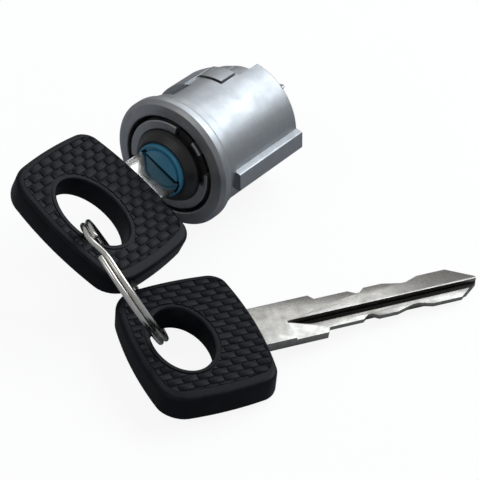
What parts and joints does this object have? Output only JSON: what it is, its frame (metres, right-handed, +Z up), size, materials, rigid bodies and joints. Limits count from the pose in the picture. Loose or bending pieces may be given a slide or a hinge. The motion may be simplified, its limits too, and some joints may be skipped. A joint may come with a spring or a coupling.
{
  "type": "ignition lock cylinder with keys",
  "caption": "Ignition lock cylinder with its key pushed in, and a spare key joined to it by a split ring.",
  "frame": {"origin": "centre of the bounding box on the surface that the pieces lie on", "axes": "+Z up, +X and +Y along the table as the pieces lie"},
  "size_m": [0.091, 0.0912, 0.0278],
  "materials": {
    "zinc": "satin die-cast zinc",
    "black_plastic": "moulded, satin",
    "blue_plastic": "moulded, semi-gloss",
    "black_moulding": "moulded grip, fine brick texture",
    "nickel_steel": "nickel plated, worn",
    "bright_wire": "bright nickel",
    "brass": "turned",
    "brass_plate": "stamped",
    "spring_steel": "drawn wire",
    "steel": "zinc plated"
  },
  "bodies": {
    "housing": {"housing": "zinc", "locking_collar": "black_plastic", "catch_spring": "spring_steel", "thrust_washer": "steel"},
    "catch": {"retaining_catch": "zinc"},
    "rotor": {"rotor": "brass", "keyway_cap": "blue_plastic", "wafer_springs": "spring_steel", "retaining_clip": "spring_steel"},
    "key": {"key_blade": "nickel_steel", "key_bow": "black_moulding"},
    "ring": {"split_ring": "bright_wire"},
    "spare_key": {"spare_key_blade": "nickel_steel", "spare_key_bow": "black_moulding"},
    "wafer_1": {"wafer_1": "brass_plate"},
    "wafer_2": {"wafer_2": "brass_plate"},
    "wafer_3": {"wafer_3": "brass_plate"},
    "wafer_4": {"wafer_4": "brass_plate"},
    "wafer_5": {"wafer_5": "brass_plate"},
    "wafer_6": {"wafer_6": "brass_plate"},
    "wafer_7": {"wafer_7": "brass_plate"},
    "wafer_8": {"wafer_8": "brass_plate"}
  },
  "joints": [
    {"name": "plug_turn", "type": "hinge", "parent": "housing", "child": "rotor", "pos_m": [-0.01974, 0.00965, 0.01444], "axis": [0.6165, 0.7854, -0.0559], "range_deg": [0, 120]},
    {"name": "key_pull", "type": "slide", "parent": "rotor", "child": "key", "axis": [0.6165, 0.7854, -0.0559], "range_m": [-0.052, 0]},
    {"name": "ring_swing", "type": "hinge", "parent": "key", "child": "ring", "pos_m": [-0.0237, -0.01389, 0.01053], "axis": [-0.8319, -0.3633, -0.4195], "range_deg": [-14, 26]},
    {"name": "spare_key_swing", "type": "hinge", "parent": "ring", "child": "spare_key", "pos_m": [-0.01905, -0.01893, 0.00566], "axis": [-0.8319, -0.3633, -0.4195], "range_deg": [-14, 14]},
    {"name": "catch_press", "type": "slide", "parent": "housing", "child": "catch", "axis": [0.0825, -0.1351, -0.9874], "range_m": [0, 0.0009], "stiffness_N_per_m": 900, "springref_m": -0.001, "deforming": ["catch_spring"]},
    {"name": "wafer_1_slide", "type": "slide", "parent": "rotor", "child": "wafer_1", "axis": [-0.7047, 0.5821, 0.4056], "range_m": [0, 0.0012]},
    {"name": "wafer_2_slide", "type": "slide", "parent": "rotor", "child": "wafer_2", "axis": [0.7047, -0.5821, -0.4056], "range_m": [0, 0.0012]},
    {"name": "wafer_3_slide", "type": "slide", "parent": "rotor", "child": "wafer_3", "axis": [-0.7047, 0.5821, 0.4056], "range_m": [0, 0.0012]},
    {"name": "wafer_4_slide", "type": "slide", "parent": "rotor", "child": "wafer_4", "axis": [0.7047, -0.5821, -0.4056], "range_m": [0, 0.0012]},
    {"name": "wafer_5_slide", "type": "slide", "parent": "rotor", "child": "wafer_5", "axis": [-0.7047, 0.5821, 0.4056], "range_m": [0, 0.0012]},
    {"name": "wafer_6_slide", "type": "slide", "parent": "rotor", "child": "wafer_6", "axis": [0.7047, -0.5821, -0.4056], "range_m": [0, 0.0012]},
    {"name": "wafer_7_slide", "type": "slide", "parent": "rotor", "child": "wafer_7", "axis": [-0.7047, 0.5821, 0.4056], "range_m": [0, 0.0012]},
    {"name": "wafer_8_slide", "type": "slide", "parent": "rotor", "child": "wafer_8", "axis": [0.7047, -0.5821, -0.4056], "range_m": [0, 0.0012]}
  ],
  "couplings": [
    {"joint": "wafer_1_slide", "follows": "key_pull", "ratio": -0.023077},
    {"joint": "wafer_2_slide", "follows": "key_pull", "ratio": -0.023077},
    {"joint": "wafer_3_slide", "follows": "key_pull", "ratio": -0.023077},
    {"joint": "wafer_4_slide", "follows": "key_pull", "ratio": -0.023077},
    {"joint": "wafer_5_slide", "follows": "key_pull", "ratio": -0.023077},
    {"joint": "wafer_6_slide", "follows": "key_pull", "ratio": -0.023077},
    {"joint": "wafer_7_slide", "follows": "key_pull", "ratio": -0.023077},
    {"joint": "wafer_8_slide", "follows": "key_pull", "ratio": -0.023077}
  ]
}
